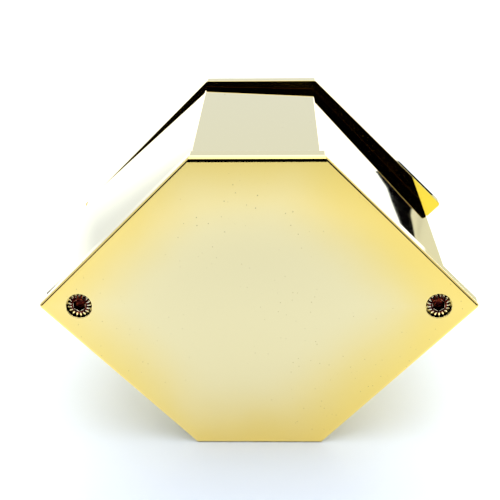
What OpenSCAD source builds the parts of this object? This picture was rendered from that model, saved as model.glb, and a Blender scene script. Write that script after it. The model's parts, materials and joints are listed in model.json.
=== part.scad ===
// Polished puzzle block: two end plates with cut corners on a slightly smaller middle shell.
// The rear plate turns on a sprung spindle and uncovers a well in each side corner of the shell.
// Two loose pins inside can lock it at every quarter turn.
// +X is right, +Y runs from the front plate to the turning rear plate and +Z is up.
// The origin lies under the middle of the block, on the surface that it rests on.

/* [Block] */
// Side of the square that each end plate is cut from
square_side = 57; // [47:0.5:70]
// Height between the lower and the upper cut face
cut_height = 57; // [47:0.5:68]
// Length of the middle shell
shell_length = 53; // [44:0.5:70]
// How far the end plates stand out over the shell's slanted faces
overhang = 1.25; // [0.6:0.05:2]
// How far they stand out over its lower and upper faces
cut_overhang = 1.5; // [0.6:0.05:2]

/* [End plates] */
// Thickness of each end plate
plate_t = 3.1; // [2.6:0.1:6]
// Radius of an end plate's side corners
plate_corner_r = 0.6; // [0.2:0.1:3]
// Gap between the turning plate and the shell
lid_gap = 0.2; // [0.1:0.05:1]

/* [Middle shell] */
// Thinnest wall between the core bore and the outside
shell_wall = 5; // [4:0.05:7]
// Radius of the shell's left side corner
shell_left_r = 0.6; // [0.4:0.1:6]
// Radius of the shell's right side corner
shell_right_r = 2.6; // [0.4:0.1:6]
// How far the shell's outside sits to the left of the plates' middle
shell_shift = 1; // [0:0.1:1.2]
// Clockwise turn of the shell's outside against the plates, seen from the front
shell_turn = 1.4; // [0:0.1:1.5]
// Width of the rear lip that the core seats against
lip_w = 2; // [1.2:0.1:3]
// Width and depth of the keyway along the core bore
key_w = 2; // [1.5:0.1:3]

/* [Corner wells] */
// Metal between the core bore and a well
well_web = 3.2; // [2:0.1:5]
// Metal between a well and the outside of the shell
well_wall = 2.5; // [1.5:0.1:4]
// Radius of a well's outer corner
well_corner_r = 3; // [1:0.5:4]
// Metal between a well's floor and the plate screw's hole
well_floor = 8; // [3:0.5:12]

/* [Plate screws] */
// Distance from a plate's side corner to the screw
screw_inset = 7.5; // [6:0.1:10]
// Diameter of the knurled head
head_d = 4.5; // [4:0.1:6]
// Height of the knurled head
head_h = 1.9; // [1.4:0.1:2.2]
// Number of knurl grooves round the head
knurl_count = 20; // [12:1:30]
// Radius of each knurl groove
knurl_r = 0.2; // [0.1:0.05:0.25]
// Hexagon socket across its flats
socket_af = 2; // [1.5:0.1:2.5]
// Depth of the hexagon socket
socket_depth = 1.3; // [0.8:0.1:1.6]
// Diameter of the screw's thread
thread_d = 2.5; // [2:0.1:3]
// Length of the screw under its head
screw_length = 12; // [8:0.5:16]
// Clearance round the head and round the thread in the plate
screw_clear = 0.2; // [0.1:0.05:0.4]
// Depth of the counterbore
counterbore = 2.2; // [1.6:0.1:2.4]

/* [Turning spindle] */
// Radius of the spindle
spindle_r = 3; // [2.5:0.1:3.6]
// Radius of its threaded end
spindle_thread_r = 2.5; // [1.5:0.1:2.8]
// Thickness of its flange
flange_t = 2; // [1.6:0.1:3]
// Free space round the flange inside the lip
flange_space = 2; // [0.5:0.1:3]
// Radial running clearance of the spindle and the pins
fit_gap = 0.03; // [0.02:0.01:0.08]
// End float of the spindle
end_float = 0.05; // [0.03:0.01:0.1]
// Thickness of the thrust washer
washer_t = 0.95; // [0.5:0.05:1.5]
// Head radius of the flange screws
flange_screw_head_r = 1.9; // [1.6:0.1:2.1]
// Head height of the flange screws
flange_screw_head_h = 1.1; // [0.8:0.1:1.3]
// Thread radius of the flange screws
flange_screw_r = 1; // [0.8:0.1:1.2]
// Depth of the flange screws in the plate
flange_screw_depth = 2.2; // [1.5:0.1:2.4]

/* [Core] */
// Thickness of each bulkhead
bulkhead_t = 6; // [5:0.5:8]
// Clearance of the bulkheads in the core bore
core_gap = 0.05; // [0.02:0.01:0.2]
// Radius of the pillars between the bulkheads
pillar_r = 2.5; // [2:0.1:2.6]
// Distance from the bore's wall to a pillar's centre
pillar_inset = 5; // [4.4:0.1:5.4]
// Number of pillars
pillar_count = 3; // [3:1:3]
// Thread radius of the pillar screws
pillar_screw_r = 1.25; // [1:0.05:1.5]
// Head radius of the pillar screws
pillar_screw_head_r = 2.2; // [1.8:0.1:2.4]
// Head height of the pillar screws
pillar_screw_head_h = 1.6; // [1.2:0.1:2.4]
// Depth of the pillar screws in the pillars
pillar_screw_depth = 6; // [4:0.5:8]
// Wall of the flanged bushes
bush_wall = 1.47; // [1:0.01:1.8]
// Radius of the bushes' flanges
bush_flange_r = 6; // [5:0.1:6.4]
// Thickness of the bushes' flanges
bush_flange_t = 1; // [0.6:0.1:1.5]
// Thickness of the circlip
circlip_t = 1.2; // [0.8:0.1:1.6]
// Depth of the circlip's groove
circlip_groove = 0.9; // [0.5:0.1:1.2]
// How far the circlip stands into the bore
circlip_reach = 1.6; // [1:0.1:2]

/* [Spring and nut] */
// Length of the spring as fitted
spring_length = 6; // [4:0.5:9]
// Radius of the spring's wire
wire_r = 0.5; // [0.3:0.05:0.6]
// Mean radius of the spring's coils
coil_r = 4.3; // [4.1:0.1:4.8]
// Number of coils
coil_count = 4; // [3:1:4]
// Outer radius of the two spring washers
spring_washer_r = 5.5; // [5.2:0.1:7]
// Thickness of each spring washer
spring_washer_t = 1; // [0.6:0.1:1.5]
// Hexagon nut across its flats
nut_af = 8; // [7:0.1:10]
// Thickness of the nut
nut_t = 2.7; // [2:0.1:4]
// Spindle end beyond the nut
spindle_end = 0.8; // [0.3:0.1:1.5]
// Free space between the spindle's end and the front plate
end_space = 0.75; // [0.4:0.05:2]

/* [Lock pins] */
// Radius of a lock pin
pin_r = 1.5; // [1:0.1:1.6]
// Length of a lock pin
pin_length = 16; // [10:0.5:18]
// Wall of a pin tube
tube_wall = 1; // [0.6:0.1:1]
// Thickness of a tube's closed end
tube_floor = 2; // [1:0.1:3]
// Distance from the flange's rim to a pin's centre
pin_inset = 4; // [3.5:0.1:4.3]
// How far a resting pin lies below the bulkhead's face
pin_rest = 0.9; // [0.5:0.1:1.5]
// Clearance of a pin in the flange's hole
pin_hole_clear = 0.3; // [0.2:0.05:0.4]

/* [Magnets] */
// Radius of a magnet
magnet_r = 2; // [1:0.1:2.2]
// Thickness of a magnet
magnet_t = 2; // [1:0.1:2.2]

/* [Hidden] */
$fn = 64;
over = 1; // how far a cutter runs past the face that it opens

// Radii of what lies round the turning axis
core_r = min(square_side / 2 - overhang, cut_height / 2 - cut_overhang) - shell_wall;
lip_r = core_r - lip_w;
flange_r = lip_r - flange_space;
pin_at = flange_r - pin_inset;
pillar_at = core_r - pillar_inset;
magnet_at = (lip_r + square_side / 2 - overhang - shell_shift / sqrt(2)) / 2;
bush_r = spindle_r + fit_gap + bush_wall;
tube_r = pin_r + fit_gap + tube_wall;

// Depths from the outside of the rear plate, towards the front
at_shell = plate_t + lid_gap;
at_core = plate_t + flange_t + end_float + washer_t;
tail_length = spring_washer_t * 2 + spring_length + end_float + nut_t + spindle_end + end_space;
pillar_length = at_shell + shell_length - tail_length - 2 * bulkhead_t - at_core;
at_tail = at_core + 2 * bulkhead_t + pillar_length;
at_nut_washer = at_tail + spring_washer_t + spring_length + end_float;
at_spindle_end = at_nut_washer + spring_washer_t + nut_t + spindle_end;
at_front = at_shell + shell_length;
depth = at_front + plate_t;

// Places across the block
corner_x = square_side / sqrt(2);
screw_x = corner_x - screw_inset;
well_x = core_r + well_web;
screw_hole_depth = screw_length - (plate_t - counterbore) + over;
well_depth = shell_length - screw_hole_depth - well_floor;

// Finishes
gold = [0.93, 0.84, 0.55];
dark_gold = [0.66, 0.47, 0.18];
steel = [0.72, 0.73, 0.75];
alloy = [0.82, 0.83, 0.85];
bronze = [0.68, 0.48, 0.28];
nickel = [0.86, 0.85, 0.82];
nylon = [0.93, 0.92, 0.88];

// Stands what follows on the turning axis, at a depth from the rear and pointing to the front
module from_rear(at) translate([0, depth / 2 - at, cut_height / 2]) rotate([90, 0, 0]) children();

// The same for a piece that faces the front: it points back to the rear
module from_tail() from_rear(at_tail) mirror([0, 0, 1]) children();

module every_quarter(r, turn = 0) for (a = [0:90:270]) rotate(a + turn) translate([r, 0, 0]) children();

module every_pillar() for (i = [0:pillar_count - 1]) rotate(90 + i * 360 / pillar_count)
  translate([pillar_at, 0, 0]) children();

module both_sides(x) for (s = [-1, 1]) translate([s * x, 0, 0]) children();

module ring(outer, inner, h) difference() {
  cylinder(r = outer, h = h);
  translate([0, 0, -over]) cylinder(r = inner, h = h + 2 * over);
}

// A square standing on its corner, cut flat below and above, with its two side corners rounded
module cut_square(side, height, left_r, right_r) {
  tip = side / sqrt(2);
  half = height / 2;
  left = left_r / sqrt(2);
  right = right_r / sqrt(2);
  polygon([[tip - right, right], [tip - half, half], [half - tip, half], [left - tip, left],
    [left - tip, -left], [half - tip, -half], [tip - half, -half], [tip - right, -right]]);
  translate([left_r * sqrt(2) - tip, 0, 0]) circle(r = left_r);
  translate([tip - right_r * sqrt(2), 0, 0]) circle(r = right_r);
}

module plate_blank() linear_extrude(plate_t)
  cut_square(square_side, cut_height, plate_corner_r, plate_corner_r);

// The outline of the shell moved inwards by a wall
module shell_outline(wall, left_r, right_r) translate([-shell_shift, 0, 0]) rotate(-shell_turn)
  cut_square(square_side - 2 * (overhang + wall), cut_height - 2 * (cut_overhang + wall), left_r, right_r);

module screw_with_head(thread_r, length, head_r, head_h) {
  cylinder(r = head_r, h = head_h);
  translate([0, 0, head_h]) cylinder(r = thread_r, h = length);
}

// End plates

module front_plate() color(gold) from_rear(at_front) difference() {
  plate_blank();
  both_sides(screw_x) {
    translate([0, 0, -over]) cylinder(d = thread_d + 2 * screw_clear, h = plate_t + 2 * over);
    translate([0, 0, plate_t - counterbore]) cylinder(d = head_d + 2 * screw_clear, h = counterbore + over);
  }
}

module rear_plate() color(gold) from_rear(0) difference() {
  plate_blank();
  every_quarter(magnet_at, 45) translate([0, 0, plate_t - magnet_t]) cylinder(r = magnet_r, h = magnet_t + over);
  every_quarter(pin_at, 45) translate([0, 0, plate_t - flange_screw_depth])
    cylinder(r = flange_screw_r, h = flange_screw_depth + over);
}

// A knurled screw that points to the rear, with the underside of its head on the counterbore's floor
module plate_screw() translate([0, 0, plate_t - counterbore]) {
  mirror([0, 0, 1]) cylinder(d = thread_d, h = screw_length);
  difference() {
    cylinder(d = head_d, h = head_h);
    translate([0, 0, head_h - socket_depth])
      cylinder(d = socket_af / cos(30), h = socket_depth + over, $fn = 6);
    for (i = [1:knurl_count]) rotate(i * 360 / knurl_count)
      translate([head_d / 2, 0, -over]) cylinder(r = knurl_r, h = head_h + 2 * over, $fn = 16);
  }
}

module left_plate_screw() color(dark_gold) from_rear(at_front) translate([-screw_x, 0, 0]) plate_screw();

module right_plate_screw() color(dark_gold) from_rear(at_front) translate([screw_x, 0, 0]) plate_screw();

// Middle shell

// The space in both side corners beyond the web, open at the rear
module wells() linear_extrude(well_depth + over) difference() {
  shell_outline(well_wall, well_corner_r, well_corner_r);
  translate([-well_x, -cut_height / 2]) square([2 * well_x, cut_height]);
}

module middle_shell() color(gold) from_rear(at_shell) difference() {
  linear_extrude(shell_length) shell_outline(0, shell_left_r, shell_right_r);
  translate([0, 0, -over]) cylinder(r = lip_r, h = shell_length);
  translate([0, 0, at_core - at_shell]) cylinder(r = core_r, h = shell_length);
  translate([0, 0, at_tail - at_shell]) cylinder(r = core_r + circlip_groove, h = circlip_t);
  translate([-key_w / 2, 0, at_core - at_shell]) cube([key_w, core_r + key_w / 2, shell_length]);
  translate([0, 0, -over]) wells();
  every_quarter(magnet_at, 45) translate([0, 0, -over]) cylinder(r = magnet_r, h = magnet_t + over);
  both_sides(screw_x) translate([0, 0, shell_length - screw_hole_depth])
    cylinder(d = thread_d, h = screw_hole_depth + over);
}

module body_magnets() color(nickel) from_rear(at_shell) every_quarter(magnet_at, 45)
  cylinder(r = magnet_r, h = magnet_t);

module lid_magnets() color(nickel) from_rear(plate_t - magnet_t) every_quarter(magnet_at, 45)
  cylinder(r = magnet_r, h = magnet_t);

// Turning spindle, with the pieces that turn with it

module lid_spindle() color(steel) from_rear(plate_t) difference() {
  union() {
    cylinder(r = flange_r, h = flange_t);
    cylinder(r = spindle_r, h = at_nut_washer - plate_t);
    cylinder(r = spindle_thread_r, h = at_spindle_end - plate_t);
  }
  every_quarter(pin_at) translate([0, 0, -over]) cylinder(r = pin_r + pin_hole_clear, h = flange_t + 2 * over);
  every_quarter(pin_at, 45) {
    translate([0, 0, -over]) cylinder(r = flange_screw_r, h = flange_t + 2 * over);
    translate([0, 0, flange_t - flange_screw_head_h]) cylinder(r = flange_screw_head_r, h = flange_t);
  }
}

module flange_screws() color(steel) from_rear(plate_t + flange_t) mirror([0, 0, 1]) every_quarter(pin_at, 45)
  screw_with_head(flange_screw_r, flange_t - flange_screw_head_h + flange_screw_depth,
    flange_screw_head_r, flange_screw_head_h);

module nut_washer() color(steel) from_rear(at_nut_washer)
  ring(spring_washer_r, spindle_thread_r, spring_washer_t);

module spindle_nut() color(steel) from_rear(at_nut_washer + spring_washer_t) difference() {
  cylinder(d = nut_af / cos(30), h = nut_t, $fn = 6);
  translate([0, 0, -over]) cylinder(r = spindle_thread_r, h = nut_t + 2 * over);
}

// Core that carries the spindle

module bulkhead() difference() {
  cylinder(r = core_r - core_gap, h = bulkhead_t);
  translate([0, 0, -over]) {
    cylinder(r = bush_r, h = bulkhead_t + 2 * over);
    cylinder(r = bush_flange_r, h = bush_flange_t + over);
  }
  every_pillar() translate([0, 0, -over]) {
    cylinder(r = pillar_screw_r, h = bulkhead_t + 2 * over);
    cylinder(r = pillar_screw_head_r, h = pillar_screw_head_h + over);
  }
}

module bush() difference() {
  union() {
    cylinder(r = bush_r, h = bulkhead_t);
    cylinder(r = bush_flange_r, h = bush_flange_t);
  }
  translate([0, 0, -over]) cylinder(r = spindle_r + fit_gap, h = bulkhead_t + 2 * over);
}

module pillar_screws() every_pillar() screw_with_head(pillar_screw_r,
  bulkhead_t - pillar_screw_head_h + pillar_screw_depth, pillar_screw_head_r, pillar_screw_head_h);

module rear_bulkhead() color(alloy) from_rear(at_core) difference() {
  bulkhead();
  both_sides(pin_at) translate([0, 0, -over]) cylinder(r = tube_r, h = bulkhead_t + 2 * over);
  translate([-key_w / 2, core_r - key_w / 2, -over]) cube([key_w, key_w, bulkhead_t + 2 * over]);
}

module front_bulkhead() color(alloy) from_tail() bulkhead();

module rear_bush() color(bronze) from_rear(at_core) bush();

module front_bush() color(bronze) from_tail() bush();

module rear_pillar_screws() color(steel) from_rear(at_core) pillar_screws();

module front_pillar_screws() color(steel) from_tail() pillar_screws();

module core_pillars() color(alloy) from_rear(at_core + bulkhead_t) every_pillar() difference() {
  cylinder(r = pillar_r, h = pillar_length);
  translate([0, 0, -over]) cylinder(r = pillar_screw_r, h = pillar_screw_depth + over);
  translate([0, 0, pillar_length - pillar_screw_depth]) cylinder(r = pillar_screw_r, h = pillar_length);
}

module core_key() color(steel) from_rear(at_core) translate([-key_w / 2, core_r - key_w / 2, 0])
  cube([key_w, key_w, bulkhead_t]);

module core_circlip() color(steel) from_rear(at_tail) difference() {
  ring(core_r + circlip_groove, core_r - circlip_reach, circlip_t);
  translate([-key_w, core_r - circlip_reach - over, -over]) cube([2 * key_w, core_r, circlip_t + 2 * over]);
}

module thrust_washer() color(nylon) from_rear(at_core - washer_t)
  ring(bush_flange_r, spindle_r + fit_gap, washer_t);

module spring_washer() color(steel) from_rear(at_tail) ring(spring_washer_r, spindle_r + fit_gap, spring_washer_t);

// Spring: an eight-sided wire carried along a helix, closed by a flat face at each end
spring_sides = 8;
spring_rings = 24 * coil_count;
spring_rise = spring_length - 2 * wire_r;
spring_points = [for (i = [0:spring_rings], j = [0:spring_sides - 1])
  let (turn = i * 360 * coil_count / spring_rings, around = j * 360 / spring_sides,
    r = coil_r + wire_r * cos(around))
  [r * cos(turn), r * sin(turn), wire_r + spring_rise * i / spring_rings + wire_r * sin(around)]];
spring_skin = [for (i = [0:spring_rings - 1], j = [0:spring_sides - 1])
  let (a = i * spring_sides + j, b = i * spring_sides + (j + 1) % spring_sides)
  [a, b, b + spring_sides, a + spring_sides]];
spring_start = [for (j = [0:spring_sides - 1]) spring_sides - 1 - j];
spring_finish = [for (j = [0:spring_sides - 1]) spring_rings * spring_sides + j];

module spindle_spring() color(steel) from_rear(at_tail + spring_washer_t)
  polyhedron(spring_points, concat(spring_skin, [spring_start, spring_finish]));

// Lock pins, each loose in its closed tube

module pin_tube() difference() {
  cylinder(r = tube_r, h = pin_rest + pin_length + end_float + tube_floor);
  translate([0, 0, -over]) cylinder(r = pin_r + fit_gap, h = over + pin_rest + pin_length + end_float);
}

module lock_pin() translate([0, 0, pin_rest]) {
  cylinder(r1 = pin_r * 0.6, r2 = pin_r, h = pin_r * 0.4);
  translate([0, 0, pin_r * 0.4]) cylinder(r = pin_r, h = pin_length - pin_r * 0.4);
}

module left_pin_tube() color(bronze) from_rear(at_core) translate([-pin_at, 0, 0]) pin_tube();

module right_pin_tube() color(bronze) from_rear(at_core) translate([pin_at, 0, 0]) pin_tube();

module left_lock_pin() color(steel) from_rear(at_core) translate([-pin_at, 0, 0]) lock_pin();

module right_lock_pin() color(steel) from_rear(at_core) translate([pin_at, 0, 0]) lock_pin();

front_plate();
left_plate_screw();
right_plate_screw();
middle_shell();
rear_plate();
lid_spindle();
flange_screws();
lid_magnets();
body_magnets();
thrust_washer();
rear_bush();
rear_bulkhead();
rear_pillar_screws();
core_pillars();
front_pillar_screws();
front_bulkhead();
front_bush();
core_key();
core_circlip();
spring_washer();
spindle_spring();
nut_washer();
spindle_nut();
left_pin_tube();
right_pin_tube();
left_lock_pin();
right_lock_pin();
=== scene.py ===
import json
import math
import bpy
import numpy as np
from mathutils import Matrix, Vector
from mathutils.geometry import delaunay_2d_cdt


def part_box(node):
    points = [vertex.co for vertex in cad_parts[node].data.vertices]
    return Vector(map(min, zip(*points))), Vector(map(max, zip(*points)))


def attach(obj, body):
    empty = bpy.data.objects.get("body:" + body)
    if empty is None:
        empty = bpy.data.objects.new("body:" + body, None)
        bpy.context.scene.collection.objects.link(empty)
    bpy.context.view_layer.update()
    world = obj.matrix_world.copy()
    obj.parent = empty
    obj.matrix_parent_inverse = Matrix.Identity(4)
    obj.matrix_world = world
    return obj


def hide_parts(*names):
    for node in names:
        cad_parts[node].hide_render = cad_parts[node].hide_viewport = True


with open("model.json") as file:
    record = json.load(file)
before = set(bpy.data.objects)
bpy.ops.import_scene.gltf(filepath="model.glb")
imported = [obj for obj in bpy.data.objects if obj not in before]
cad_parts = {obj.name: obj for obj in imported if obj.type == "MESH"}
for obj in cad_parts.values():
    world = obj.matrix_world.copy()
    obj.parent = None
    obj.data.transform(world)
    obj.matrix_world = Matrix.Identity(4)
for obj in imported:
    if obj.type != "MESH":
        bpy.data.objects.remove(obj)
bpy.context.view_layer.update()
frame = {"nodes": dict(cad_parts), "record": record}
mm = 0.001
finest = 1e-7  # places closer than this, in metres, are one vertex
offGrid = 0.137  # keeps round measures away from the halfway point when they are rounded
tiny = 1e-14  # below this a normal has no direction

plateLow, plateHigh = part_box("front_plate")
lidLow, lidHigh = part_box("rear_plate")
shellLow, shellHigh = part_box("middle_shell")
axisZ = (plateLow.z + plateHigh.z) / 2
halfHeight = (plateHigh.z - plateLow.z) / 2


# each sheet of a surface is (corner places, corner normals, corner wear and painted light share), one row
# per face

def roundEdge(y, toward, depth, steps):
    # quarter ellipse from a flat face at y (share 1 of its width inwards) to the side wall (share 0)
    turn = np.linspace(0, math.pi / 2, steps + 1)
    share = 1 - np.sin(turn)
    along = y + toward * depth * (1 - np.cos(turn))
    return share, along, turn


def profile(rows):
    # rows of (inset, depth along Y, normal across, normal along Y, wear and painted light share)
    return np.array(rows, float)


def roundedRows(y, toward, width, depth, steps=10):
    # rows of a rounded edge: its normal swings from the face's to the wall's
    share, along, turn = roundEdge(y, toward, depth, steps)
    across = np.sin(turn) * depth
    out = -toward * np.cos(turn) * width
    size = np.hypot(across, out)
    # most in the middle of the rounding: the edge's wear, which also gives it a painted deeper reflection
    # tone and, on the shell, painted shade
    wear = np.sin(2 * turn) * 0.6 + 0.4
    return np.stack([share * width, along, across / size, out / size, wear], 1)


def cutSquare(tip, half, radii, insets, turn=0.0, shift=0.0, arcSteps=8):
    # a square on its corner, cut flat above and below: six corners, each rounded by its own radius
    # and each edge moved in by its own inset; one ring of points for each column of insets
    normals = np.array([[1, 1], [0, 1], [-1, 1], [-1, -1], [0, -1], [1, -1]], float)
    normals[[0, 2, 3, 5]] /= math.sqrt(2)
    reach = np.array([tip / math.sqrt(2), half, tip / math.sqrt(2)] * 2)[:, None] - insets
    before = np.roll(normals, 1, axis=0)
    reachBefore = np.roll(reach, 1, axis=0)
    bend = before[:, 0] * normals[:, 1] - before[:, 1] * normals[:, 0]
    corner = np.stack([(reachBefore * normals[:, 1:] - reach * before[:, 1:]) / bend[:, None],
                       (reach * before[:, :1] - reachBefore * normals[:, :1]) / bend[:, None]], 2)
    meanInset = (insets + np.roll(insets, 1, axis=0)) / 2
    radius = np.maximum(np.array(radii)[:, None] - meanInset, 0.03 * mm)
    lean = (before + normals) / (1 + (before * normals).sum(1))[:, None]
    middle = corner - lean[:, None, :] * radius[:, :, None]
    start = np.arctan2(before[:, 1], before[:, 0])
    swing = np.arcsin(bend)
    angle = start[:, None] + swing[:, None] * np.linspace(0, 1, arcSteps + 1)[None, :]
    out = np.stack([np.cos(angle), np.sin(angle)], 2)
    rings = middle[:, None] + radius[:, None, :, None] * out[:, :, None, :]
    count = 6 * (arcSteps + 1)
    rings = rings.reshape(count, insets.shape[1], 2)
    out = out.reshape(count, 2)
    spin = np.array([[math.cos(turn), -math.sin(turn)], [math.sin(turn), math.cos(turn)]])
    return rings @ spin.T + np.array([shift, axisZ]), out @ spin.T


def holeRings(centre, radius, insets, steps=48):
    # circles round a centre, with normals towards it; an inset widens the circle
    angle = np.linspace(0, 2 * math.pi, steps, endpoint=False)
    out = np.stack([np.cos(angle), np.sin(angle)], 1)
    rings = np.array(centre) + (radius + insets)[None, :, None] * out[:, None, :]
    return rings, -out


def wall(rings, normals, rows):
    # closed wall through rings of points: ring t lies at depth rows[t] along Y
    count, levels = rings.shape[:2]
    place = np.empty((count, levels, 3))
    place[..., 0] = rings[..., 0]
    place[..., 1] = rows[None, :, 1]
    place[..., 2] = rings[..., 1]
    facing = np.empty_like(place)
    facing[..., 0] = normals[:, None, 0] * rows[None, :, 2]
    facing[..., 1] = rows[None, :, 3]
    facing[..., 2] = normals[:, None, 1] * rows[None, :, 2]
    wearAndLightShare = np.broadcast_to(rows[None, :, 4], (count, levels))
    return gridFaces(place, facing, wearAndLightShare)


def gridFaces(place, facing, wearAndLightShare):
    # quads between neighbouring points of a grid that closes on itself in its first direction
    def corners(values):
        # the values at each quad's four corners, in order round it
        ahead = np.roll(values, -1, axis=0)
        four = [values[:, :-1], ahead[:, :-1], ahead[:, 1:], values[:, 1:]]
        return np.stack(four, 2).reshape((-1, 4) + values.shape[2:])
    place, facing, wearAndLightShare = corners(place), corners(facing), corners(wearAndLightShare)
    across = np.cross(place[:, 2] - place[:, 0], place[:, 3] - place[:, 1])
    if (across * facing.mean(1)).sum() < 0:
        place, facing, wearAndLightShare = place[:, ::-1], facing[:, ::-1], wearAndLightShare[:, ::-1]
    return place, facing, wearAndLightShare


def insideLoop(points, loop):
    # even-odd test: a point is inside when a ray from it crosses the loop an odd number of times
    x, z = points[:, 0][:, None], points[:, 1][:, None]
    a, b = loop[None], np.roll(loop, -1, axis=0)[None]
    spans = (a[..., 1] > z) != (b[..., 1] > z)
    rise = np.where(spans, b[..., 1] - a[..., 1], 1)
    crossing = a[..., 0] + (z - a[..., 1]) * (b[..., 0] - a[..., 0]) / rise
    return (spans & (x < crossing)).sum(1) % 2 == 1


def cap(outer, holes, y, facing):
    # flat face between an outer loop and its holes, at depth y, facing +Y or -Y
    loops = [outer] + list(holes)
    points = np.concatenate(loops)
    starts = np.cumsum([0] + [len(loop) for loop in loops])
    edges = []
    for first, loop in zip(starts, loops):
        ring = first + np.arange(len(loop))
        edges += np.stack([ring, np.roll(ring, -1)], 1).tolist()
    found = delaunay_2d_cdt([Vector(p) for p in (points / mm).tolist()], edges, [], 1, 1e-7)
    source = np.array([near[0] for near in found[3]])
    triangles = points[source[np.array(found[2])]]
    centres = triangles.mean(1)
    keep = insideLoop(centres, outer)
    for loop in holes:
        keep &= ~insideLoop(centres, loop)
    triangles = triangles[keep]
    place = np.stack([triangles[..., 0], np.full(triangles.shape[:2], y), triangles[..., 1]], 2)
    normal = np.broadcast_to(np.array([0.0, facing, 0.0]), place.shape)
    across = np.cross(place[:, 1] - place[:, 0], place[:, 2] - place[:, 0])
    turned = across[:, 1] * facing < 0
    place[turned] = place[turned][:, ::-1]
    return place, normal, np.zeros(place.shape[:2])


def makePiece(name, sheets, material, node, body):
    # one closed mesh from its sheets: equal places become one vertex, and a quad that has
    # closed up at a pole becomes a triangle; the sheets' own normals are kept, and the two
    # attributes hold the wear with its painted light share and how far a face looks along the block
    faces = {3: [], 4: []}
    for place, facing, wearAndLightShare in sheets:
        faces[place.shape[1]].append((place, facing, wearAndLightShare))
    spots, normals, wear, sizes = [], [], [], []
    for size, group in faces.items():
        for place, facing, wearAndLightShare in group:
            key = np.round(place / finest + offGrid)
            flat = np.stack([(key[:, i] == key[:, (i + 1) % size]).all(1) for i in range(size)], 1)
            whole = ~flat.any(1)
            parts = [(whole, list(range(size)))]
            if size == 4:
                for i in range(4):
                    parts.append((flat[:, i] & (flat.sum(1) == 1), [j for j in range(4) if j != i]))
            for chosen, columns in parts:
                spots.append(place[chosen][:, columns].reshape(-1, 3))
                normals.append(facing[chosen][:, columns].reshape(-1, 3))
                wear.append(wearAndLightShare[chosen][:, columns].reshape(-1))
                sizes.append(np.full(int(chosen.sum()), len(columns)))
    spots, normals = np.concatenate(spots), np.concatenate(normals)
    wear, sizes = np.concatenate(wear), np.concatenate(sizes)
    _, first, vertex = np.unique(np.round(spots / finest + offGrid), axis=0,
                                 return_index=True, return_inverse=True)
    mesh = bpy.data.meshes.new(name)
    mesh.vertices.add(len(first))
    mesh.vertices.foreach_set("co", spots[first].ravel())
    mesh.loops.add(len(spots))
    mesh.loops.foreach_set("vertex_index", vertex.ravel().astype(np.int32))
    mesh.polygons.add(len(sizes))
    mesh.polygons.foreach_set("loop_start", (np.cumsum(sizes) - sizes).astype(np.int32))
    mesh.update(calc_edges=True)
    mesh.polygons.foreach_set("use_smooth", np.ones(len(sizes), bool))
    normals = normals / np.linalg.norm(normals, axis=1)[:, None]
    for label, values in (("wear", wear), ("endFace", normals[:, 1])):
        attribute = mesh.attributes.new(label, "FLOAT", "CORNER")
        attribute.data.foreach_set("value", values.astype(np.float32))
    mesh.normals_split_custom_set(normals.tolist())
    mesh.materials.append(material)
    piece = bpy.data.objects.new(name, mesh)
    bpy.context.scene.collection.objects.link(piece)
    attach(piece, body)
    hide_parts(node)
    print("made", name, "with", len(sizes), "faces")
    return piece


def feed(tree, socket, value):
    # a node's output is linked to the socket, anything else is its fixed value
    if isinstance(value, bpy.types.NodeSocket):
        tree.links.new(value, socket)
    else:
        socket.default_value = value


def addNode(tree, kind, settings=None, **inputs):
    # a node with its settings; an input is given by name, or as i and its number
    made = tree.nodes.new(kind)
    for key, value in (settings or {}).items():
        setattr(made, key, value)
    for key, value in inputs.items():
        numbered = key[0] == "i" and key[1:].isdigit()
        feed(tree, made.inputs[int(key[1:]) if numbered else key.replace("_", " ")], value)
    return made


def math2(tree, operation, a, b=0.0, c=0.0):
    # one sum, product or other operation on two values; c is the third value that only a few of them use
    return addNode(tree, "ShaderNodeMath", {"operation": operation}, i0=a, i1=b, i2=c).outputs[0]


def mixColour(tree, amount, a, b):
    # colour a, moved towards colour b by the amount; inputs 6 and 7 are the node's two colours
    return addNode(tree, "ShaderNodeMix", {"data_type": "RGBA"}, i0=amount, i6=a, i7=b).outputs[2]


def ramp(tree, value, low, high, fromLow, fromHigh):
    # smooth step of value from low..high to fromLow..fromHigh
    return addNode(tree, "ShaderNodeMapRange", {"interpolation_type": "SMOOTHSTEP"},
                   i0=value, i1=low, i2=high, i3=fromLow, i4=fromHigh).outputs[0]


def newGroup(name, inputs, outputs):
    # an empty node group with named inputs and outputs
    tree = bpy.data.node_groups.new(name, "ShaderNodeTree")
    for label, kind, value in inputs:
        socket = tree.interface.new_socket(label, in_out="INPUT", socket_type="NodeSocket" + kind)
        if value is not None:
            socket.default_value = value
    for label, kind in outputs:
        tree.interface.new_socket(label, in_out="OUTPUT", socket_type="NodeSocket" + kind)
    return tree, tree.nodes.new("NodeGroupInput").outputs, tree.nodes.new("NodeGroupOutput").inputs


def noise(tree, vector, scale, detail=3.0, roughness=0.5, distortion=0.0):
    # soft noise from 0 to 1, about 0.5 on average
    return addNode(tree, "ShaderNodeTexNoise", None, Vector=vector, Scale=scale, Detail=detail,
                   Roughness=roughness, Distortion=distortion).outputs["Fac"]


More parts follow.
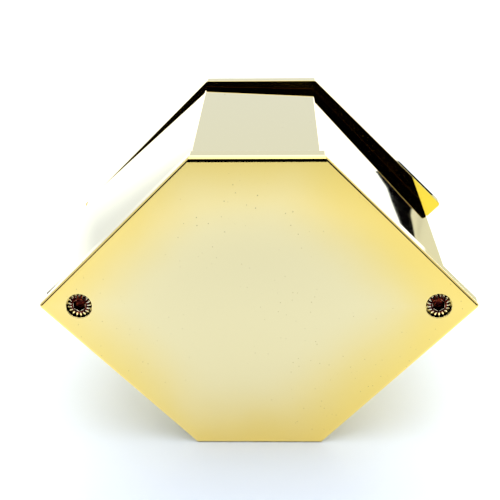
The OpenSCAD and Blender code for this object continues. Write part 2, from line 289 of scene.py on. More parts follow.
# painted reflection colour: the light tone a little left of the middle, deeper towards the rim and in soft
# clouds; the spread from light to deep stands in for what the polished faces reflect, the clouds are random
# tone
reflectionAndCloudTone, given, result = newGroup("paintedReflectionAndCloudTone", [
    ("Place", "Vector", None), ("Light", "Color", (1, 1, 1, 1)), ("Deep", "Color", (1, 1, 1, 1)),
    ("Centre height", "Float", 0.0285), ("Half width", "Float", 0.04), ("Half height", "Float", 0.0285),
    ("Clouds", "Float", 0.2), ("Wear", "Float", 0.0), ("End face", "Float", 1.0), ("Start", "Float", 0.25)],
    [("Colour", "Color")])
parts = addNode(reflectionAndCloudTone, "ShaderNodeSeparateXYZ", None, i0=given["Place"]).outputs
side = math2(reflectionAndCloudTone, "ABSOLUTE", math2(reflectionAndCloudTone, "ADD", parts[0], 3 * mm))
rise = math2(reflectionAndCloudTone, "ABSOLUTE", math2(reflectionAndCloudTone, "SUBTRACT", parts[2], given["Centre height"]))
slanted = math2(reflectionAndCloudTone, "DIVIDE", math2(reflectionAndCloudTone, "ADD", side, rise), given["Half width"])
far = math2(reflectionAndCloudTone, "SMOOTH_MAX", math2(reflectionAndCloudTone, "DIVIDE", rise, given["Half height"]), slanted, 0.1)
uneven = math2(reflectionAndCloudTone, "SUBTRACT", noise(reflectionAndCloudTone, given["Place"], 55.0, 4.0), 0.5)
cloud = math2(reflectionAndCloudTone, "MULTIPLY", uneven, given["Clouds"])
# painted reflection: deeper, more saturated gold towards the rim
deep = ramp(reflectionAndCloudTone, math2(reflectionAndCloudTone, "ADD", far, cloud), given["Start"], 1.1, 0.0, 1.0)
deep = math2(reflectionAndCloudTone, "MULTIPLY", deep, given["End face"])
# rounded edges take the painted deeper reflection tone as well
deep = math2(reflectionAndCloudTone, "MAXIMUM", deep, math2(reflectionAndCloudTone, "MULTIPLY", given["Wear"], 0.35))
reflectionAndCloudTone.links.new(mixColour(reflectionAndCloudTone, deep, given["Light"], given["Deep"]), result["Colour"])

# fine lines from polishing: noise stretched along one direction, faint and broken up
lines, given, result = newGroup("polishLines", [
    ("Place", "Vector", None), ("Stretch", "Vector", (1, 1, 1)), ("Turn", "Vector", (0, 0, 0)),
    ("Broken", "Float", 0.5)], [("Height", "Float"), ("Scratch", "Float")])
turned = addNode(lines, "ShaderNodeMapping", None, Vector=given["Place"], Rotation=given["Turn"],
                 Scale=given["Stretch"]).outputs[0]
fine = noise(lines, turned, 1.0, 6.0, 0.7)
patch = noise(lines, given["Place"], 120.0, 2.0)
scratch = math2(lines, "MULTIPLY", ramp(lines, fine, 0.66, 0.76, 0.0, 1.0),
                ramp(lines, patch, given["Broken"], 0.75, 0.0, 1.0))
lines.links.new(fine, result["Height"])
lines.links.new(scratch, result["Scratch"])

# tiny pits: round dots in a share of the cells of a cell pattern, gathered where the soft noise is high
pits, given, result = newGroup("platingPits", [
    ("Place", "Vector", None), ("Scale", "Float", 900.0), ("Size", "Float", 0.2),
    ("Share", "Float", 0.3), ("Gather", "Float", 0.5)], [("Mask", "Float")])
cells = addNode(pits, "ShaderNodeTexVoronoi", {"feature": "F1"},
                Vector=given["Place"], Scale=given["Scale"])
chance = addNode(pits, "ShaderNodeSeparateColor", None, i0=cells.outputs["Color"]).outputs
reach = math2(pits, "MULTIPLY", given["Size"], math2(pits, "ADD", chance[1], 0.3))
dot = ramp(pits, cells.outputs["Distance"], reach, 0.0, 0.0, 1.0)
chosen = math2(pits, "LESS_THAN", chance[0], given["Share"])
gathered = ramp(pits, noise(pits, given["Place"], 45.0, 2.0), given["Gather"],
                math2(pits, "ADD", given["Gather"], 0.12), 0.0, 1.0)
pits.links.new(math2(pits, "MULTIPLY", math2(pits, "MULTIPLY", dot, chosen), gathered), result["Mask"])

# touch marks: soft smudges that make the polish a little duller
smudge, given, result = newGroup("touchMarks", [
    ("Place", "Vector", None), ("Scale", "Float", 60.0), ("Clean", "Float", 0.02),
    ("Dull", "Float", 0.1)], [("Roughness", "Float")])
large = noise(smudge, given["Place"], given["Scale"], 5.0, 0.6, 0.4)
mask = ramp(smudge, large, 0.5, 0.78, 0.0, 1.0)
rough = addNode(smudge, "ShaderNodeMapRange", None, i0=mask, i1=0.0, i2=1.0, i3=given["Clean"],
                i4=given["Dull"]).outputs[0]
smudge.links.new(rough, result["Roughness"])

# turning marks: fine rings round the block's axis
rings, given, result = newGroup("turningMarks", [
    ("Place", "Vector", None), ("Centre height", "Float", 0.0285), ("Pitch", "Float", 0.0002)],
    [("Height", "Float"), ("Tone", "Float")])
parts = addNode(rings, "ShaderNodeSeparateXYZ", None, i0=given["Place"]).outputs
rise = math2(rings, "SUBTRACT", parts[2], given["Centre height"])
radius = math2(rings, "SQRT", math2(rings, "ADD", math2(rings, "POWER", parts[0], 2.0),
               math2(rings, "POWER", rise, 2.0)))
phase = math2(rings, "DIVIDE", math2(rings, "ADD", radius, parts[1]), given["Pitch"])
uneven = math2(rings, "MULTIPLY", noise(rings, given["Place"], 400.0, 3.0), 4.0)
wave = math2(rings, "SINE", math2(rings, "ADD", phase, uneven))
rings.links.new(wave, result["Height"])
rings.links.new(noise(rings, given["Place"], 300.0, 4.0, 0.6), result["Tone"])


def newMaterial(name):
    # an empty material with its shader and the place on the piece
    material = bpy.data.materials.new(name)
    material.use_nodes = True
    tree = material.node_tree
    shader = tree.nodes["Principled BSDF"]
    place = tree.nodes.new("ShaderNodeTexCoord").outputs["Object"]
    return material, tree, shader, place


def useGroup(tree, group, **inputs):
    # the outputs of a node group that gets these inputs
    return addNode(tree, "ShaderNodeGroup", {"node_tree": group}, **inputs).outputs


def addBump(tree, depth, height, before=None, inverted=False):
    # a normal bent by a height pattern of this depth in metres, on top of the bump before it
    made = addNode(tree, "ShaderNodeBump", {"invert": inverted},
                   Strength=1.0, Distance=depth, Height=height)
    if before is not None:
        feed(tree, made.inputs["Normal"], before)
    return made.outputs[0]


def goldMaterial(name, look):
    # mirror-polished plating: painted reflection tone by place and facing, worn edges that also take a
    # painted deeper tone, painted edge shade on the shell, polish lines, pits and touch marks
    material, tree, shader, place = newMaterial(name)
    wear = addNode(tree, "ShaderNodeAttribute", {"attribute_name": "wear"}).outputs["Fac"]
    facing = addNode(tree, "ShaderNodeAttribute", {"attribute_name": "endFace"}).outputs["Fac"]
    face = math2(tree, "ABSOLUTE", facing)
    # painted reflection: faces that look along the block take the light tone, the outer walls the paler
    # side tone, as lit and shaded copies of one plating
    light = mixColour(tree, face, look["side"], look["light"])
    tone = useGroup(tree, reflectionAndCloudTone, Place=place, Light=light, Deep=look["deep"],
                    Centre_height=axisZ, Half_width=plateHigh.x, Half_height=halfHeight,
                    Clouds=look["clouds"], Wear=wear, End_face=face, Start=look["start"])
    mark = useGroup(tree, lines, Place=place, Stretch=look["stretch"], Turn=look["turn"], Broken=0.5)
    pit = useGroup(tree, pits, Place=place, Scale=look["pitScale"], Size=look["pitSize"],
                   Share=look["pitShare"], Gather=look["pitGather"])["Mask"]
    touch = useGroup(tree, smudge, Place=place, Scale=look["touchScale"],
                     Clean=look["clean"], Dull=look["dull"])
    # the end face that lies against the next piece has a tone of its own, and no pits
    covered = ramp(tree, math2(tree, "MULTIPLY", facing, look["coveredSide"]), 0.9, 1.0, 0.0, 1.0)
    pit = math2(tree, "MULTIPLY", pit, math2(tree, "SUBTRACT", 1.0, covered))
    colour = mixColour(tree, math2(tree, "MULTIPLY", covered, look["coveredShare"]), tone["Colour"],
                       look["coveredColour"])
    # painted shade: where the look's edge share is 1, as on the shell, rounded edges and well mouths go
    # nearly black, for the shade in the narrow gaps between the shell and the plates
    edge = ramp(tree, wear, 0.42, 0.6, 0.0, look["edgeShadeShare"])
    colour = mixColour(tree, edge, colour, look["edgeShadeColour"])
    colour = mixColour(tree, math2(tree, "MULTIPLY", pit, look["pitDark"]), colour, look["pitColour"])
    scratched = math2(tree, "MULTIPLY", mark["Scratch"], look["scratchShare"])
    colour = mixColour(tree, scratched, colour, look["scratchColour"])
    tree.links.new(colour, shader.inputs["Base Color"])
    shader.inputs["Metallic"].default_value = 1.0
    rough = math2(tree, "ADD", touch["Roughness"], math2(tree, "MULTIPLY", wear, look["wornRough"]))
    rough = math2(tree, "MAXIMUM", rough, math2(tree, "MULTIPLY", pit, look["pitRough"]))
    rough = math2(tree, "MAXIMUM", rough, math2(tree, "MULTIPLY", covered, look["coveredRough"]))
    tree.links.new(rough, shader.inputs["Roughness"])
    swell = noise(tree, place, look["swellScale"], 1.0)
    ripple = addBump(tree, look["swell"], swell)
    hair = addBump(tree, look["lineDepth"], mark["Height"], ripple)
    tree.links.new(addBump(tree, look["pitDepth"], pit, hair, True), shader.inputs["Normal"])
    return material


# light, side and deep are painted reflection tones of one plating: light on the end faces, the paler side
# tone on the outer walls, deep towards the rim
plateLook = {
    "light": (0.985, 0.83, 0.437, 1), "side": (0.985, 0.885, 0.54, 1), "deep": (0.985, 0.73, 0.195, 1),
    "clouds": 0.25, "start": 0.45,
    "stretch": (90.0, 300.0, 2600.0), "turn": (0, 0.5, 0),
    "pitScale": 900.0, "pitSize": 0.2, "pitShare": 0.75, "pitGather": 0.47, "pitDark": 0.85,
    "pitRough": 0.35, "pitColour": (0.30, 0.19, 0.07, 1),
    "scratchShare": 0.25, "scratchColour": (0.80, 0.66, 0.34, 1),
    "touchScale": 70.0, "clean": 0.025, "dull": 0.07, "wornRough": 0.02,
    "swellScale": 30.0, "swell": 0.00004, "lineDepth": 0.0000004, "pitDepth": 0.00001,
    "coveredSide": 1.0, "coveredShare": 0.5, "coveredColour": (0.80, 0.60, 0.22, 1),
    "coveredRough": 0.12, "edgeShadeShare": 0.0, "edgeShadeColour": (0.02, 0.008, 0.004, 1)}
# the lid's face towards the shell, seen as the ledge above the shell, is a saturated yellow: a painted
# reflection of light passed between gold faces
lidLook = dict(plateLook, coveredSide=-1.0, coveredShare=1.0, coveredColour=(0.985, 0.70, 0.06, 1),
               coveredRough=0.03)
shellLook = dict(plateLook, light=(0.985, 0.885, 0.56, 1), deep=(0.98, 0.84, 0.42, 1),
                 stretch=(2600.0, 40.0, 2600.0), turn=(0, 0, 0), pitShare=0.12, clean=0.012, dull=0.035,
                 swellScale=22.0, lineDepth=0.0000006, clouds=0.3, coveredShare=1.0,
                 # the shell's rounded edges and well mouths get the painted edge shade
                 coveredColour=(0.10, 0.05, 0.015, 1), coveredRough=0.4, edgeShadeShare=1.0)
plateGold = goldMaterial("plateGold", plateLook)
lidGold = goldMaterial("lidGold", lidLook)
shellGold = goldMaterial("shellGold", shellLook)


def screwMaterial(name, look):
    # knurled screw: a painted dark reflection in two red-brown tones over the head and in the hollows, and
    # painted highlights on the crests of the teeth and on the socket rim
    material, tree, shader, place = newMaterial(name)
    paintedHighlightShare = addNode(tree, "ShaderNodeAttribute", {"attribute_name": "wear"}).outputs["Fac"]
    cloud = noise(tree, place, look["grain"], 4.0, 0.6)
    uneven = math2(tree, "MULTIPLY", math2(tree, "SUBTRACT", cloud, 0.5), 0.5)
    # painted highlights where the highlight share is high; elsewhere a painted dark reflection in two
    # red-brown tones
    edge = ramp(tree, math2(tree, "ADD", paintedHighlightShare, uneven), 0.45, 0.62, 0.0, 1.0)
    paintedDark = mixColour(tree, ramp(tree, cloud, 0.45, 0.68, 0.0, 1.0), look["paintedDark"], look["brown"])
    tree.links.new(mixColour(tree, edge, paintedDark, look["paintedHighlight"]), shader.inputs["Base Color"])
    shader.inputs["Metallic"].default_value = 1.0
    rough = addNode(tree, "ShaderNodeMapRange", None, i0=cloud, i1=0.3, i2=0.7,
                    i3=look["smooth"], i4=look["rough"])
    tree.links.new(rough.outputs[0], shader.inputs["Roughness"])
    tree.links.new(addBump(tree, look["grainDepth"], cloud), shader.inputs["Normal"])
    return material


# the two red-brown tones are a painted dark reflection, the pale gold is the painted highlight
screwGold = screwMaterial("screwGold", {
    "paintedDark": (0.02, 0.002, 0.003, 1), "brown": (0.32, 0.045, 0.014, 1), "paintedHighlight": (0.99, 0.90, 0.62, 1),
    "smooth": 0.10, "rough": 0.24, "grain": 1500.0, "grainDepth": 0.02 * mm})


def turnedMaterial(name, look):
    # turned or ground part: faint rings round the axis, two close tones and uneven polish
    material, tree, shader, place = newMaterial(name)
    mark = useGroup(tree, rings, Place=place, Centre_height=axisZ, Pitch=look["pitch"])
    touch = useGroup(tree, smudge, Place=place, Scale=look["touchScale"],
                     Clean=look["clean"], Dull=look["dull"])
    colour = mixColour(tree, mark["Tone"], look["light"], look["deep"])
    tree.links.new(colour, shader.inputs["Base Color"])
    shader.inputs["Metallic"].default_value = look["metal"]
    tree.links.new(touch["Roughness"], shader.inputs["Roughness"])
    tree.links.new(addBump(tree, look["depth"], mark["Height"]), shader.inputs["Normal"])
    return material


turned = {"metal": 1.0, "pitch": 0.00006, "touchScale": 120.0, "clean": 0.16, "dull": 0.34,
          "depth": 0.000002}
innerLooks = {
    "steel": dict(turned, light=(0.60, 0.61, 0.63, 1), deep=(0.42, 0.43, 0.46, 1)),
    "dark_steel": dict(turned, light=(0.045, 0.045, 0.05, 1), deep=(0.018, 0.018, 0.02, 1),
                       clean=0.3, dull=0.5),
    "alloy": dict(turned, light=(0.80, 0.81, 0.83, 1), deep=(0.62, 0.64, 0.67, 1),
                  pitch=0.0001, depth=0.000004),
    "bronze": dict(turned, light=(0.56, 0.32, 0.14, 1), deep=(0.34, 0.18, 0.08, 1),
                   clean=0.28, dull=0.45),
    "nickel": dict(turned, light=(0.74, 0.72, 0.66, 1), deep=(0.56, 0.54, 0.50, 1),
                   clean=0.08, dull=0.2),
    "nylon": dict(turned, light=(0.86, 0.85, 0.79, 1), deep=(0.74, 0.72, 0.64, 1),
                  metal=0.0, clean=0.42, dull=0.6)}
innerMaterials = {name: turnedMaterial(name, look) for name, look in innerLooks.items()}
slotOf = {entry["node"]: entry["material_slot"] for entry in frame["record"]["subparts"]}
for node, thing in frame["nodes"].items():
    if slotOf[node] in innerMaterials:
        thing.data.materials.clear()
        thing.data.materials.append(innerMaterials[slotOf[node]])
print("materials ready")


plates = {
    "cornerRadius": 0.6 * mm, "cutRadius": 0.35 * mm, "rollWidth": 0.55 * mm, "rollDepth": 0.42 * mm,
    "rollShares": (1.0, 2.2, 1.0, 1.0, 1.3, 1.0), "rollSteps": 14, "backWidth": 0.08 * mm,
    "mouthWidth": 0.15 * mm}
plateTip = plateHigh.x + plates["cornerRadius"] * (math.sqrt(2) - 1)
plateRadii = [plates["cornerRadius"], plates["cutRadius"], plates["cutRadius"]] * 2


def plateWall(outside, inside):
    # outer wall of a plate between its outside and inside faces, with the rolled edge on the outside;
    # the roll's width on each of the six sides is the common width times that side's share
    toward = 1 if inside > outside else -1
    rows = np.concatenate([
        roundedRows(outside, toward, plates["rollWidth"], plates["rollDepth"], plates["rollSteps"]),
        roundedRows(inside, -toward, plates["backWidth"], plates["backWidth"], 4)[::-1]])
    shares = np.array(plates["rollShares"])[:, None]
    rolled = np.arange(len(rows)) <= plates["rollSteps"]
    insets = rows[None, :, 0] * np.where(rolled[None, :], shares, 1.0)
    rings, normals = cutSquare(plateTip, halfHeight, plateRadii, insets)
    return rings, normals, rows


def roundHole(centre, radius, mouth, floor, rest):
    # rows of a round hole from its mouth (rounded) down to its floor, and on through the further rows
    toward = 1 if floor > mouth else -1
    rows = np.concatenate([roundedRows(mouth, toward, plates["mouthWidth"], plates["mouthWidth"], 5),
                           profile([[0, floor, 1, 0, 0]] + rest)])
    rings, normals = holeRings(centre, radius, rows[:, 0])
    return rings, normals, rows


screwBox = {side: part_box(side + "_plate_screw") for side in ("left", "right")}
screwAt = {side: ((low.x + high.x) / 2, (low.z + high.z) / 2) for side, (low, high) in screwBox.items()}
screws = {"counterRadius": 2.35 * mm, "counterDepth": 2.2 * mm, "clearRadius": 1.45 * mm}

rings, normals, rows = plateWall(plateLow.y, plateHigh.y)
sheets = [wall(rings, normals, rows)]
frontLoops, backLoops = [], []
for side, centre in screwAt.items():
    floor = plateLow.y + screws["counterDepth"]
    step = screws["clearRadius"] - screws["counterRadius"]
    hole, facing, holeRows = roundHole(centre, screws["counterRadius"], plateLow.y, floor, [
        [0, floor, 0, -1, 0], [step, floor, 0, -1, 0],
        [step, floor, 1, 0, 0], [step, plateHigh.y, 1, 0, 0]])
    sheets.append(wall(hole, facing, holeRows))
    frontLoops.append(hole[:, 0])
    backLoops.append(hole[:, -1])
sheets.append(cap(rings[:, 0], frontLoops, plateLow.y, -1))
sheets.append(cap(rings[:, -1], backLoops, plateHigh.y, 1))
makePiece("frontPlate", sheets, plateGold, "front_plate", "block")


def quarterPlaces(radius):
    # four places at a radius from the axis, on the diagonals
    angle = math.pi / 4 + np.arange(4) * math.pi / 2
    return np.stack([radius * np.cos(angle), axisZ + radius * np.sin(angle)], 1)


magnets = {"radius": 2.0 * mm, "depth": 2.0 * mm}
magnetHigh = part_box("body_magnets")[1]
magnetRing = (magnetHigh.x - magnets["radius"]) * math.sqrt(2)
flangeScrews = {"radius": 1.0 * mm, "depth": 2.2 * mm, "headRadius": 1.9 * mm}
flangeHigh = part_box("flange_screws")[1]
flangeRing = (flangeHigh.x - flangeScrews["headRadius"]) * math.sqrt(2)


def blindHoles(places, radius, mouth, depth):
    # round blind holes with a flat floor, with the loops of their mouths
    made, mouths = [], []
    toward = 1 if depth > 0 else -1
    for centre in places:
        floor = mouth + depth
        hole, facing, holeRows = roundHole(centre, radius, mouth, floor, [
            [0, floor, 0, -toward, 0], [-radius, floor, 0, -toward, 0]])
        made.append(wall(hole, facing, holeRows))
        mouths.append(hole[:, 0])
    return made, mouths


rings, normals, rows = plateWall(lidHigh.y, lidLow.y)
pockets, mouths = blindHoles(quarterPlaces(magnetRing), magnets["radius"], lidLow.y, magnets["depth"])
taps, tapMouths = blindHoles(quarterPlaces(flangeRing), flangeScrews["radius"], lidLow.y,
                             flangeScrews["depth"])
sheets = [wall(rings, normals, rows), cap(rings[:, -1], mouths + tapMouths, lidLow.y, -1),
          cap(rings[:, 0], [], lidHigh.y, 1)] + pockets + taps
makePiece("turningPlate", sheets, lidGold, "rear_plate", "lid")


shell = {
    "gap": 1.25 * mm, "cutGap": 1.5 * mm,
    "leftRadius": 0.6 * mm, "rightRadius": 2.6 * mm, "cutRadius": 0.35 * mm,
    "shift": -1.0 * mm, "turn": math.radians(-1.4), "edge": 0.02 * mm,
    "lipRadius": 20 * mm, "lip": 2.8 * mm, "boreRadius": 22 * mm, "keyWidth": 2 * mm,
    "grooveAt": 40.7 * mm, "grooveWidth": 1.2 * mm, "groove": 0.9 * mm,
    "wellWall": 2.5 * mm, "wellRadius": 3 * mm, "wellAt": 25.2 * mm, "wellDepth": 32.9 * mm,
    # the well mouths' wear value also gives them the shell's painted edge shade
    "wellMouthWearAndShade": 0.7,
    "screwHole": 12.3 * mm, "screwRadius": 1.25 * mm}


def shellOutline(insets, wallInset=0.0, leftRadius=None, rightRadius=None):
    # the shell's outline: the plates' outline moved in by the gaps, shifted and turned a little
    tip = plateTip - (shell["gap"] + wallInset) * math.sqrt(2)
    half = halfHeight - shell["cutGap"] - wallInset
    left = shell["leftRadius"] if leftRadius is None else leftRadius
    right = shell["rightRadius"] if rightRadius is None else rightRadius
    cut = shell["cutRadius"]
    radii = [right, cut, cut, left, cut, cut]
    spread = np.broadcast_to(insets, (6, len(insets)))
    return cutSquare(tip, half, radii, spread, shell["turn"], shell["shift"], 12)


rows = np.concatenate([roundedRows(shellLow.y, 1, shell["edge"], shell["edge"], 6),
                       roundedRows(shellHigh.y, -1, shell["edge"], shell["edge"], 6)[::-1]])
rings, normals = shellOutline(rows[:, 0])
sheets = [wall(rings, normals, rows)]
frontLoops, rearLoops = [], []
outerFront, outerRear = rings[:, 0], rings[:, -1]

# bore: lip at the rear, keyed core bore with a ring groove, open at the front
keyHalf = shell["keyWidth"] / 2
keyTop = np.array([[keyHalf, shell["boreRadius"] + keyHalf], [-keyHalf, shell["boreRadius"] + keyHalf]])
start = math.asin(keyHalf / shell["boreRadius"])
angle = np.linspace(math.pi / 2 + start, math.pi * 2.5 - start, 120)
circle = np.stack([np.cos(angle), np.sin(angle)], 1)


def boreLoop(radius, keyed):
    # circle that the keyway breaks at the top; unkeyed, its two extra points lie on the circle
    extra = keyTop if keyed else radius * keyTop / np.linalg.norm(keyTop, axis=1)[:, None]
    if keyed and radius > shell["boreRadius"]:
        extra = keyTop * max(1.0, radius / np.linalg.norm(keyTop[0]))
    return np.concatenate([circle * radius, extra]) + np.array([0, axisZ])


def boreWall(loop, rows):
    # straight wall of the bore with normals towards the axis
    inward = -(loop - np.array([0, axisZ]))
    inward /= np.linalg.norm(inward, axis=1)[:, None]
    return wall(np.repeat(loop[:, None], len(rows), 1), inward, rows)


lipLoop, boreLoopKeyed = boreLoop(shell["lipRadius"], False), boreLoop(shell["boreRadius"], True)
grooveLoop = boreLoop(shell["boreRadius"] + shell["groove"], True)
lipAt = shellHigh.y - shell["lip"]
grooveRear = shellHigh.y - shell["grooveAt"]
grooveFront = grooveRear - shell["grooveWidth"]
sheets.append(boreWall(lipLoop, profile([[0, shellHigh.y, 1, 0, 0], [0, lipAt, 1, 0, 0]])))
sheets.append(boreWall(boreLoopKeyed, profile([[0, lipAt, 1, 0, 0], [0, grooveRear, 1, 0, 0]])))
sheets.append(boreWall(grooveLoop, profile([[0, grooveRear, 1, 0, 0], [0, grooveFront, 1, 0, 0]])))
sheets.append(boreWall(boreLoopKeyed, profile([[0, grooveFront, 1, 0, 0], [0, shellLow.y, 1, 0, 0]])))
sheets.append(cap(boreLoopKeyed, [lipLoop], lipAt, -1))
sheets.append(cap(grooveLoop, [boreLoopKeyed], grooveRear, -1))
sheets.append(cap(grooveLoop, [boreLoopKeyed], grooveFront, 1))
rearLoops.append(lipLoop)
frontLoops.append(boreLoopKeyed)


def wellLoop(sign, inset):
    # outline of a corner well: the points of the wall's inner outline beyond the web, and the two
    # places where it meets the web, sorted round their middle
    radius = shell["wellRadius"]
    ring = shellOutline(np.array([inset]), shell["wellWall"], radius, radius)[0][:, 0]
    edge = shell["wellAt"] + inset
    outer = ring[ring[:, 0] * sign > edge]
    following = np.roll(ring, -1, axis=0)
    run = np.where(following[:, 0] == ring[:, 0], 1, following[:, 0] - ring[:, 0])
    share = (sign * edge - ring[:, 0]) / run
    crossing = (ring[:, 0] * sign > edge) != (following[:, 0] * sign > edge)
    ends = (ring + share[:, None] * (following - ring))[crossing]
    loop = np.concatenate([outer, ends])
    middle = loop.mean(0)
    order = np.argsort(np.arctan2(loop[:, 1] - middle[1], loop[:, 0] - middle[0]))
    return loop[order]


for sign in (-1, 1):
    share, along, turn = roundEdge(shellHigh.y, -1, shell["edge"], 5)
    levels = [wellLoop(sign, -amount * shell["edge"]) for amount in share]
    floor = shellHigh.y - shell["wellDepth"]
    levels.append(levels[-1])
    rings = np.stack(levels, 1)
    following = np.roll(rings[:, -1], -1, axis=0) - np.roll(rings[:, -1], 1, axis=0)
    inward = np.stack([-following[:, 1], following[:, 0]], 1)
    inward /= np.linalg.norm(inward, axis=1)[:, None]
    mouthRows = np.stack([share * 0, along, np.sin(turn), np.cos(turn), share * 0 + shell["wellMouthWearAndShade"]], 1)
    wellRows = np.concatenate([mouthRows, profile([[0, floor, 1, 0, 0]])])
    sheets.append(wall(rings, inward, wellRows))
    sheets.append(cap(rings[:, -1], [], floor, 1))
    rearLoops.append(rings[:, 0])

pockets, mouths = blindHoles(quarterPlaces(magnetRing), magnets["radius"], shellHigh.y,
                             -magnets["depth"])
taps, tapMouths = blindHoles(screwAt.values(), shell["screwRadius"], shellLow.y, shell["screwHole"])
sheets += pockets + taps
sheets.append(cap(outerRear, rearLoops + mouths, shellHigh.y, 1))
sheets.append(cap(outerFront, frontLoops + tapMouths, shellLow.y, -1))
makePiece("middleShell", sheets, shellGold, "middle_shell", "block")


screwShape = {
    "teeth": 17, "toothDepth": 0.5 * mm, "toothHollowShade": 1.25, "headHeight": 1.9 * mm,
    "socket": 1.0 * mm, "socketDepth": 1.3 * mm, "threadRadius": 1.25 * mm, "threadPitch": 0.45 * mm,
    "threadDepth": 0.12 * mm, "threadRows": 4, "around": 200}


def screwSurface(side):
    # polar surface round the screw's axis: radius = round or hexagonal profile, less the depth of the
    # hollows between the teeth and of the thread
    low, high = screwBox[side]
    x, z = screwAt[side]
    radius = (high.x - low.x) / 2
    head, length = screwShape["headHeight"], high.y - low.y
    hexagon, thread = screwShape["socket"], screwShape["threadRadius"]
    bottom = screwShape["socketDepth"]
    # rows of radius, depth, share of hexagon, share of tooth depth, painted highlight share
    steps = [[0, bottom + 0.15 * mm, 1, 0, 0], [hexagon * 0.5, bottom, 1, 0, 0.3],
             [hexagon, bottom - 0.05 * mm, 1, 0, 0], [hexagon, 0.16 * mm, 1, 0, 0.1],
             [hexagon + 0.05 * mm, 0.09 * mm, 0.9, 0, 0.6], [hexagon + 0.11 * mm, 0.04 * mm, 0.6, 0, 0.5],
             [hexagon + 0.20 * mm, 0.02 * mm, 0.1, 0, 0.1], [radius * 0.60, 0, 0, 0, 0],
             [radius * 0.63, 0.02 * mm, 0, 0.02, 0.5], [radius * 0.68, 0.06 * mm, 0, 0.12, 0.8],
             [radius * 0.78, 0.14 * mm, 0, 0.35, 1], [radius * 0.88, 0.22 * mm, 0, 0.6, 1.1],
             [radius * 0.96, 0.28 * mm, 0, 0.85, 1.3], [radius, 0.32 * mm, 0, 1, 1.4],
             [radius, 0.40 * mm, 0, 1, 1.4], [radius, head - 0.15 * mm, 0, 1, 1.2],
             [radius * 0.95, head, 0, 0.8, 0.4], [thread, head, 0, 0, 0]]
    turns = int((length - head - 0.6 * mm) / screwShape["threadPitch"])
    perTurn = screwShape["threadRows"]
    along = head + 0.1 * mm + np.arange(turns * perTurn) * screwShape["threadPitch"] / perTurn
    threadRows = np.stack([np.full(len(along), thread), along, along * 0, along * 0, along * 0], 1)
    ends = [[thread, along[-1] + 0.1 * mm, 0, 0, 0], [thread * 0.7, length, 0, 0, 0], [0, length, 0, 0, 0]]
    table = np.concatenate([np.array(steps), threadRows, np.array(ends)])
    size, depth, sixSided, toothed, paintedHighlight = table.T[:, None]
    row = np.arange(len(table))
    inThread = (row >= len(steps)) & (row < len(steps) + len(along))
    angle = np.linspace(0, 2 * math.pi, screwShape["around"], endpoint=False)[:, None]
    sector = math.pi / 3
    hexagonal = 1 / np.cos(np.mod(angle + sector / 2, sector) - sector / 2)
    tooth = 1 - np.abs(np.mod(angle * screwShape["teeth"] / (2 * math.pi), 1.0) * 2 - 1)
    helix = np.abs(np.mod(depth / screwShape["threadPitch"] - angle / (2 * math.pi), 1.0) * 2 - 1)
    reach = size * (1 + sixSided * (hexagonal - 1)) - toothed * screwShape["toothDepth"] * tooth
    reach = reach - np.where(inThread, helix * screwShape["threadDepth"], 0)
    across, upward = x + reach * np.cos(angle), z + reach * np.sin(angle)
    place = np.stack([across, np.broadcast_to(low.y + depth, reach.shape), upward], 2)
    # painted shade in the hollows between the teeth, painted highlights on the crests and the socket rim
    hollowShade = np.where(toothed > 0, screwShape["toothHollowShade"] * tooth, 0)
    wearAndLightShare = paintedHighlight * np.maximum(1 - hollowShade, 0)
    return place, np.broadcast_to(wearAndLightShare, reach.shape)


def slopeNormals(place):
    # normals from the surface's own slopes: the cross product of its two directions, scaled to length 1
    around = np.roll(place, -1, axis=0) - np.roll(place, 1, axis=0)
    along = np.gradient(place, axis=1)
    normal = np.cross(around, along)
    size = np.linalg.norm(normal, axis=2, keepdims=True)
    return np.where(size > tiny, normal / np.maximum(size, tiny), np.array([0, -1.0, 0]))


threadColumn = -20  # this column of points lies in the thread, where outwards is away from the axis
for side in ("left", "right"):
    place, wearAndLightShare = screwSurface(side)
    normal = slopeNormals(place)
    outward = place[:, threadColumn] - np.array([screwAt[side][0], 0, screwAt[side][1]])
    outward[:, 1] = 0
    if (normal[:, threadColumn] * outward).sum() < 0:
        normal = -normal
    normal[:, 0] = (0, -1, 0)
    normal[:, -1] = (0, 1, 0)
    makePiece(side + "KnurledScrew", [gridFaces(place, normal, wearAndLightShare)], screwGold,
              side + "_plate_screw", "block")


def stagePlane(name, corners, material):
    # one flat face that belongs to the stage
    mesh = bpy.data.meshes.new(name)
    mesh.from_pydata(corners, [], [tuple(range(len(corners)))])
    mesh.materials.append(material)
    made = bpy.data.objects.new(name, mesh)
    bpy.context.scene.collection.objects.link(made)
    return made


# floor: two near whites, an oval shade ahead of the block and a darker patch far behind it on the left
floorLook = {
    "reach": 8.0, "light": (0.90, 0.925, 0.955, 1), "lighter": (0.93, 0.95, 0.965, 1),
    "shadeColour": (0.715, 0.76, 0.86, 1), "shadeAhead": 0.085, "shadeHalfX": 0.052, "shadeHalfY": 0.08,
    "patchColour": (0.54, 0.555, 0.60, 1), "patchFrom": (0.17, 0.25), "patchLeftOf": (-0.07, -0.05),
    "patchSlope": 0.25, "rough": (0.30, 0.36)}
floorMaterial, tree, shader, place = newMaterial("paleFloor")
cloud = noise(tree, place, 6.0, 3.0)
whites = mixColour(tree, cloud, floorLook["light"], floorLook["lighter"])
parts = addNode(tree, "ShaderNodeSeparateXYZ", None, i0=place).outputs
across = math2(tree, "DIVIDE", parts[0], floorLook["shadeHalfX"])
ahead = math2(tree, "ADD", parts[1], floorLook["shadeAhead"])
ahead = math2(tree, "DIVIDE", ahead, floorLook["shadeHalfY"])
oval = math2(tree, "ADD", math2(tree, "POWER", across, 2.0), math2(tree, "POWER", ahead, 2.0))
shade = ramp(tree, oval, 0.0, 1.3, 1.0, 0.0)
